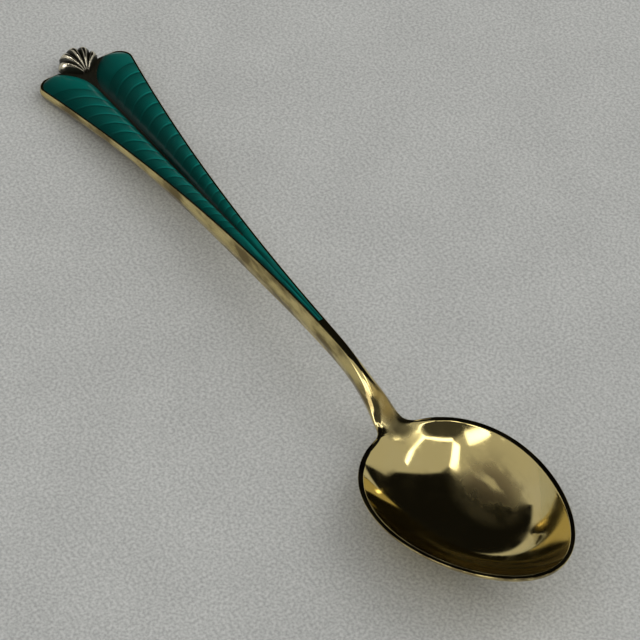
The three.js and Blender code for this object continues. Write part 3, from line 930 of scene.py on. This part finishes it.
# A film is a centre and a reach in mm, and the value of the wiped noise below which it is gone.
BOWL_FILM = ((32.6, 4.4), (6.4, 3.8), -0.3)
ROOT_FILM = ((21.6, 0.8), (2.1, 2.3), -0.5)
NECK_FILM = ((18.9, 0.3), (3.2, 1.4), -0.8)
STAIN_SIZE = 1.3
STAIN_STREAK = (0.3, 1, 1)
STAIN_RANGE = (0.38, 0.62)
STAIN_COVER = (0.1, 0.95)
gilt, tree, shader = new_material("gilt_silver_worn")
smudge, hairlines = add_marks(tree, METAL_SMUDGE_SIZE)
on_piece = node(tree, "ShaderNodeTexCoord").outputs["Object"]
speckle = sums(tree, "SUBTRACT", noise(tree, on_piece, SPECKLE_SIZE, 3.0), 0.5)
dirt_and_tip_shade = between(tree, sums(tree, "MULTIPLY_ADD", speckle, SPECKLE, attribute(tree, "patina")), *DIRT_RANGE)
wiped = between(tree, noise(tree, on_piece, WIPE_SIZE, 5.0, WIPE_STREAK), *WIPE_RANGE)


def film_mask(centre, reach, gone):
    """Mask of a film: a smooth step of the distance from its oval's middle, times one of the wiped noise."""
    size = np.array(reach) * MM
    shift = -np.array(centre) * MM / size
    to_oval = {"Vector": on_piece, "Location": (*shift, 0), "Scale": (*(1 / size), 0)}
    on_oval = node(tree, "ShaderNodeMapping", to_oval).outputs[0]
    away = node(tree, "ShaderNodeVectorMath", {0: on_oval}, operation="LENGTH").outputs["Value"]
    return times(tree, between(tree, wiped, gone, FILM_FULL), between(tree, away, 1.0, FILM_MIDDLE))


bowl_film, root_film, neck_film = [film_mask(*film) for film in (BOWL_FILM, ROOT_FILM, NECK_FILM)]
stains = between(tree, noise(tree, on_piece, STAIN_SIZE, 5.0, STAIN_STREAK), *STAIN_RANGE, *STAIN_COVER)
print("masks of the metal have", len(tree.nodes), "nodes")

# %% [markdown]
# ## Gilt silver
# Old gilding is a pale, slightly green gold. The ribs of the shell are worn to silver, and each mask then
# lays its own colour over the gold, one after another, as the layers lie on the real spoon. Roughness does
# most of the work here: clean metal mirrors the room, smudged metal blurs it.

# %% Gilt silver
GILT = (0.80, 0.655, 0.285, 1)
WORN_GILT = (0.82, 0.71, 0.40, 1)
BROWNED = (0.20, 0.15, 0.065, 1)
SILVER = (0.82, 0.79, 0.70, 1)
TARNISH = (0.019, 0.018, 0.011, 1)
AMBER = (0.50, 0.36, 0.12, 1)
FILM = (0.17, 0.122, 0.058, 1)
WEAR_SIZE = 6.0
WEAR_RANGE = (0.4, 0.7)
WEAR_COVER = 0.35
RUBBED_COVER = 0.7
BOWL_FILM_COVER = 0.85
ROOT_FILM_COVER = 0.8
CLEAN_BLUR = 0.055
SMUDGE_BLUR = 0.07
HAIRLINE_BLUR = 0.03
FILM_BLUR = 0.26
DIRT_BLUR = 0.35
FILM_DULLING = 0.2
DULLING = 0.45
RIPPLE_SIZE = 3.0
HAIRLINE_DEPTH = 0.02
RIPPLE_HEIGHT = 0.02
RIPPLE_STRENGTH = 0.06
wear = between(tree, noise(tree, on_piece, WEAR_SIZE, 3.0), *WEAR_RANGE)
layers = (
    (times(tree, wear, WEAR_COVER), WORN_GILT),
    (times(tree, attribute(tree, "worn"), RUBBED_COVER), SILVER),
    (times(tree, bowl_film, BOWL_FILM_COVER), FILM),
    (neck_film, AMBER),
    (times(tree, root_film, ROOT_FILM_COVER), TARNISH),
    (times(tree, attribute(tree, "side"), stains), BROWNED),
    # tarnish in the groove and the shell's valleys, painted shade on the shell's rib tips, dark shell
    # underside
    (dirt_and_tip_shade, TARNISH),
)
metal = GILT
for cover, colour in layers:
    metal = blended(tree, cover, metal, colour)
tree.links.new(metal, shader.inputs["Base Color"])
clouded = sums(tree, "MAXIMUM", neck_film, sums(tree, "MAXIMUM", bowl_film, root_film))
rough = sums(tree, "MULTIPLY_ADD", smudge, SMUDGE_BLUR, CLEAN_BLUR)
for mark, blur in ((hairlines, HAIRLINE_BLUR), (clouded, FILM_BLUR), (dirt_and_tip_shade, DIRT_BLUR)):
    rough = sums(tree, "MULTIPLY_ADD", mark, blur, rough)
tree.links.new(rough, shader.inputs["Roughness"])
covered = sums(tree, "MAXIMUM", dirt_and_tip_shade, times(tree, bowl_film, FILM_DULLING))
tree.links.new(sums(tree, "MULTIPLY_ADD", covered, -DULLING, 1.0), shader.inputs["Metallic"])
scratches = times(tree, hairlines, -HAIRLINE_DEPTH)
ripple = sums(tree, "ADD", noise(tree, on_piece, RIPPLE_SIZE, 1.0), scratches)
steps = {"Height": ripple, "Strength": RIPPLE_STRENGTH, "Distance": RIPPLE_HEIGHT * MM}
tree.links.new(node(tree, "ShaderNodeBump", steps).outputs[0], shader.inputs["Normal"])
for piece in (blank, shell):
    piece.data.materials.append(gilt)
    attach(piece, "root")
    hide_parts("spoon_blank")
print("gilt has", len(layers), "layers and", len(tree.nodes), "nodes")

# %% [markdown]
# ## Waves under the glass
# Clear green glass over bright engraved metal looks deepest where the glass is thick, at the foot of a
# wave, and lightest at its crest. A painted highlight runs as a thin line of light along each crest, and a
# painted shade darkens the foot of each wave's step. The wave attribute counts waves along the lobe, and its
# fraction is the place between two crests. An image could hold the waves, but the attribute keeps them as
# crisp as the mesh.

# %% Waves under the glass
# SHADE is painted shade: at the foot of each wave and beside the groove
SHADE = (0.000, 0.016, 0.014, 1)
DEEP = (0.000, 0.044, 0.036, 1)
LIGHT = (0.000, 0.075, 0.061, 1)
# a painted highlight along each wave's crest, also the brightest green of the tongue's streaks
CREST_HIGHLIGHT_AND_STREAK = (0.002, 0.125, 0.103, 1)
TILT_RANGE = (-0.3, 0.3)
TILT_PAINTED_CONTRAST = (0.14, 0.8)
PATTERN_END = 0.02
SLOPE_PHASE = (-0.1, 0.9)
SLOPE_TONE = (-0.8, 0.8)
CREST_START = (WAVE_CREST - 0.05, WAVE_CREST)
CREST_END = (0.96, 0.9)
FOOT_BEFORE = (0.93, 0.98)
FOOT_AFTER = (0.09, 0.02)
green, tree, shader = new_material("green_enamel_fired")
wave = attribute(tree, "wave")
tilt = attribute(tree, "tilt")
phase = sums(tree, "FRACT", wave)
wave_count = float(len(wave_stations()) - 1)
after_first = between(tree, wave, -PATTERN_END, 0.0)
before_last = between(tree, wave, wave_count + PATTERN_END, wave_count)
waved = times(tree, after_first, before_last)
# painted light: the waves show more on slopes tilted towards the light, less on those tilted away
tilt_painted_contrast = between(tree, tilt, *TILT_RANGE, *TILT_PAINTED_CONTRAST)
rising = times(tree, between(tree, phase, *SLOPE_PHASE, *SLOPE_TONE), tilt_painted_contrast)
slope = blended(tree, sums(tree, "ADD", rising, 0.5), DEEP, LIGHT)
# painted highlight along each crest, and painted shade at each wave's foot
crest_highlight = times(tree, between(tree, phase, *CREST_START), between(tree, phase, *CREST_END))
foot_shade = sums(tree, "MAXIMUM", between(tree, phase, *FOOT_BEFORE), between(tree, phase, *FOOT_AFTER))
engraved_and_painted_light = blended(tree, times(tree, crest_highlight, tilt_painted_contrast), slope, CREST_HIGHLIGHT_AND_STREAK)
engraved_and_painted_light = blended(tree, times(tree, foot_shade, tilt_painted_contrast), engraved_and_painted_light, SHADE)
print("enamel has", int(wave_count), "waves in a lobe")

# %% [markdown]
# ## Green enamel
# Past the last wave only fine streaks of the polished recess show, and beside the groove the glass has a
# painted shade. Where the tilt attribute turns a lobe towards the light, painted light makes it brighter and
# its waves plainer, and where it turns away, painted shade makes it darker. A layered glass shader could work
# this out, but colour is enough. A coat keeps the fired surface smooth.

# %% Green enamel
ENAMEL_SMUDGE_SIZE = 3.5
STREAK_SIZE = 0.35
STREAK = (0.05, 1, 1)
STREAK_RANGE = (0.3, 0.7)
TONGUE_BLEND = 2
TONGUE_COVER = 0.65
GROOVE_SIDE = (0.14, 0.02)
GROOVE_SHADE = 0.45
TILT_PAINTED_LIGHT = (0.4, 1.4)
FINE_CUTS = 7  # fine cuts in one wave
FINE_CUT_DEPTH = 0.006
FINE_CUT_STRENGTH = 0.3
GLASS_BLUR = 0.3
GLASS_SMUDGE_BLUR = 0.1
GLASS_SPECULAR = 0.2
COAT_START = (0.02, 0.3)
COAT_WEIGHT = (0.05, 0.7)
COAT_BLUR = 0.04
on_piece = node(tree, "ShaderNodeTexCoord").outputs["Object"]
lobe_share = attribute(tree, "across")
streaks = between(tree, noise(tree, on_piece, STREAK_SIZE, 2.0, STREAK), *STREAK_RANGE)
in_tongue = times(tree, between(tree, wave, wave_count, wave_count + TONGUE_BLEND), TONGUE_COVER)
plain = blended(tree, in_tongue, LIGHT, blended(tree, streaks, DEEP, CREST_HIGHLIGHT_AND_STREAK))
beside_groove = times(tree, between(tree, lobe_share, *GROOVE_SIDE), GROOVE_SHADE)
tone = blended(tree, beside_groove, blended(tree, waved, plain, engraved_and_painted_light), SHADE)
# painted light and shade: the tone is lighter where a slope tilts towards the light, darker where it tilts
# away
tone = tinted(tree, tone, between(tree, tilt, *TILT_RANGE, *TILT_PAINTED_LIGHT))
tree.links.new(tone, shader.inputs["Base Color"])
cuts = times(tree, sums(tree, "SINE", times(tree, wave, 2 * np.pi * FINE_CUTS)), waved)
steps = {"Height": cuts, "Strength": FINE_CUT_STRENGTH, "Distance": FINE_CUT_DEPTH * MM}
tree.links.new(node(tree, "ShaderNodeBump", steps).outputs[0], shader.inputs["Normal"])
smudge, _ = add_marks(tree, ENAMEL_SMUDGE_SIZE)
rough = sums(tree, "MULTIPLY_ADD", smudge, GLASS_SMUDGE_BLUR, GLASS_BLUR)
tree.links.new(rough, shader.inputs["Roughness"])
shader.inputs["Specular IOR Level"].default_value = GLASS_SPECULAR
tree.links.new(between(tree, lobe_share, *COAT_START, *COAT_WEIGHT), shader.inputs["Coat Weight"])
shader.inputs["Coat Roughness"].default_value = COAT_BLUR
enamel.data.materials.append(green)
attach(enamel, "root")
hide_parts("enamel_inlay")
print("enamel has", len(tree.nodes), "nodes")

# %% [markdown]
# ## Floor
# The spoon lies on a plain pale floor. A plane is enough. It is large, so that its far edge stays at the
# horizon even in a view from close to the ground.

# %% Floor
FLOOR_REACH = 30.0
PALE_FLOOR = (0.43, 0.435, 0.42, 1)
GRAIN_SIZE = 0.32
GRAIN_RANGE = (0.25, 0.75)
GRAIN_TONE = (0.78, 1.22)
CLOUD_SIZE = 9.0
CLOUD_RANGE = (0.3, 0.7)
CLOUD_TONE = (0.97, 1.03)
corners = np.array([[-1, -1, 0], [1, -1, 0], [1, 1, 0], [-1, 1, 0]]) * FLOOR_REACH
floor_mesh = bpy.data.meshes.new("floor")
floor_mesh.from_pydata(corners, [], [(0, 1, 2, 3)])
floor = bpy.data.objects.new("floor", floor_mesh)
bpy.context.scene.collection.objects.link(floor)
matt, tree, shader = new_material("pale_floor")
on_floor = node(tree, "ShaderNodeTexCoord").outputs["Object"]
grain = between(tree, noise(tree, on_floor, GRAIN_SIZE, 4.0), *GRAIN_RANGE, *GRAIN_TONE)
clouds = between(tree, noise(tree, on_floor, CLOUD_SIZE, 3.0), *CLOUD_RANGE, *CLOUD_TONE)
tree.links.new(tinted(tree, PALE_FLOOR, times(tree, grain, clouds)), shader.inputs["Base Color"])
shader.inputs["Roughness"].default_value = 0.95
shader.inputs["Specular IOR Level"].default_value = 0.1
floor_mesh.materials.append(matt)
print("floor is", 2 * FLOOR_REACH, "m wide")

# %% [markdown]
# ## Room
# Polished metal has hardly a colour of its own: it shows the room. So the room is made as a dome with a
# pale ground line, a grey ceiling with a few lit strips, and a dark cloth hung on the far side, which gives
# the bowl its deep middle. The cloth's edge sags, so that the curved bowl shows it straight. A low window
# at the near side draws a bright streak along the neck. Real cards and lamps could stand there, but the
# dome needs no meshes, and its places are easy to find: a ceiling place is where a direction meets a plane
# one unit up.

# %% Room
ROOM = 0.45
GROUND_LINE = 0.44
GROUND_FADE = (0.02, 0.12)
ROOM_TINT = (1, 0.99, 0.96, 1)
LOWEST = 0.02
world = bpy.data.worlds.new("studio")
bpy.context.scene.world = world
world.use_nodes = True
tree = world.node_tree
sky = node(tree, "ShaderNodeSeparateXYZ", {0: node(tree, "ShaderNodeTexCoord").outputs["Generated"]})
x, y, z = sky.outputs
overhead = sums(tree, "MAXIMUM", z, LOWEST)
ceiling_x = sums(tree, "DIVIDE", x, overhead)
ceiling_y = sums(tree, "DIVIDE", y, overhead)
room = between(tree, z, *GROUND_FADE, GROUND_LINE, ROOM)


def along_way(a, b, way):
    """How far the place (a, b) lies along a direction: their dot product."""
    return sums(tree, "MULTIPLY_ADD", a, way[0], times(tree, b, way[1]))


def strip_light(centre, towards, length, width, soft):
    """Mask of a soft strip on the ceiling: near its centre along a direction and across it."""
    way = np.array(towards) / np.hypot(*towards)
    dx = sums(tree, "SUBTRACT", ceiling_x, centre[0])
    dy = sums(tree, "SUBTRACT", ceiling_y, centre[1])
    run = sums(tree, "ABSOLUTE", along_way(dx, dy, way))
    side = sums(tree, "ABSOLUTE", along_way(dx, dy, (-way[1], way[0])))
    in_length = between(tree, run, length + soft, length)
    return times(tree, in_length, between(tree, side, width + soft, width))


print("room is", ROOM, "bright overhead and", GROUND_LINE, "at the ground line")

# %% [markdown]
# ## What the metal mirrors
# Each thing in the room is a mask over the dome, made of smooth steps, and each mask lays its own
# brightness over the ones before it. The strips come last, so that nothing covers them. Image textures
# could hold such a room, but then its parts could not be moved one by one.

# %% What the metal mirrors
CLOTH = 0.006
CLOTH_FOLD = 1.0
CLOTH_SAG = 0.14
CLOTH_EDGE = (0.07, 0.02)
CLOTH_FRONT = (0.43, -0.23)  # slope and start of its front edge on the ceiling
CLOTH_FRONT_EDGE = (-0.03, 0.03)
CLOTH_FOOT = (0.08, 0.13)
NEAR_SIDE = 0.05
NEAR_LEFT_WAY = (0.978, -0.208)
NEAR_LEFT_EDGE = (0.22, 0.32)
NEAR_RIGHT_WAY = (0.574, -0.819)
NEAR_RIGHT_EDGE = (0.40, 0.52)
NEAR_FOOT = (0.05, 0.10)
WINDOW = 3.2
WINDOW_WAY = (-0.07, -1.0)
WINDOW_FRONT = (0.5, 0.6)
WINDOW_SIDE = (0.40, 0.30)
WINDOW_SILL = (0.02, 0.04)
WINDOW_TOP = (0.36, 0.28)
STRIP = 3.2
# A strip is a centre, a direction, half its length, half its width and its soft edge, on the ceiling.
STRIPS = (
    ((0.28, 0.21), (-0.30, 0.95), 0.40, 0.006, 0.035),
    ((0.27, -0.40), (0.46, 0.89), 0.26, 0.008, 0.035),
    ((-0.05, -0.46), (-0.48, 0.88), 0.22, 0.05, 0.04),
    ((-0.26, -1.43), (-0.45, -0.89), 0.50, 0.09, 0.05),
)
from_fold = sums(tree, "SUBTRACT", ceiling_y, CLOTH_FOLD)
sag = sums(tree, "MINIMUM", times(tree, from_fold, from_fold), 1.0)
cloth_side = between(tree, sums(tree, "MULTIPLY_ADD", sag, CLOTH_SAG, ceiling_x), *CLOTH_EDGE)
past_front = sums(tree, "SUBTRACT", ceiling_y, sums(tree, "MULTIPLY_ADD", ceiling_x, *CLOTH_FRONT))
cloth = times(tree, cloth_side, between(tree, past_front, *CLOTH_FRONT_EDGE))
cloth = times(tree, cloth, between(tree, z, *CLOTH_FOOT))
near_left = between(tree, along_way(ceiling_x, ceiling_y, NEAR_LEFT_WAY), *NEAR_LEFT_EDGE)
near_right = between(tree, along_way(ceiling_x, ceiling_y, NEAR_RIGHT_WAY), *NEAR_RIGHT_EDGE)
near_side = times(tree, times(tree, near_left, near_right), between(tree, z, *NEAR_FOOT))
window_front = between(tree, along_way(x, y, WINDOW_WAY), *WINDOW_FRONT)
window_across = sums(tree, "ABSOLUTE", along_way(x, y, (-WINDOW_WAY[1], WINDOW_WAY[0])))
window_width = times(tree, window_front, between(tree, window_across, *WINDOW_SIDE))
window_height = times(tree, between(tree, z, *WINDOW_SILL), between(tree, z, *WINDOW_TOP))
window = times(tree, window_height, window_width)
lit = 0.0
for strip in STRIPS:
    lit = sums(tree, "MAXIMUM", lit, strip_light(*strip))
for mask, strength in ((near_side, NEAR_SIDE), (cloth, CLOTH), (window, WINDOW), (lit, STRIP)):
    room = node(tree, "ShaderNodeMix", {0: mask, 2: room, 3: strength}).outputs[0]
tree.links.new(room, tree.nodes["Background"].inputs["Strength"])
tree.nodes["Background"].inputs["Color"].default_value = ROOM_TINT
print("dome has", len(STRIPS), "strips and", len(tree.nodes), "nodes")

# %% [markdown]
# ## Lamps
# Two wide soft lamps, one at the far side and one high up, light floor and enamel. They are hidden from the
# metal, which would show them as round spots, and the Standard view keeps its colours as they are.

# %% Lamps
# A lamp is a strength, a spread in degrees, and an azimuth and elevation.
LAMPS = {"side_lamp": (1.0, 60, (170, 36)), "ceiling_lamp": (1.3, 130, (170, 68))}
for name, (strength, spread, towards) in LAMPS.items():
    lamp = bpy.data.objects.new(name, bpy.data.lights.new(name, "SUN"))
    lamp.data.energy = strength
    lamp.data.angle = np.radians(spread)
    lamp.visible_glossy = False
    lamp.rotation_euler = Vector(-direction(*towards)).to_track_quat("-Z", "Y").to_euler()
    bpy.context.scene.collection.objects.link(lamp)
bpy.context.scene.view_settings.view_transform = "Standard"
print(len(LAMPS), "lamps light floor and enamel")
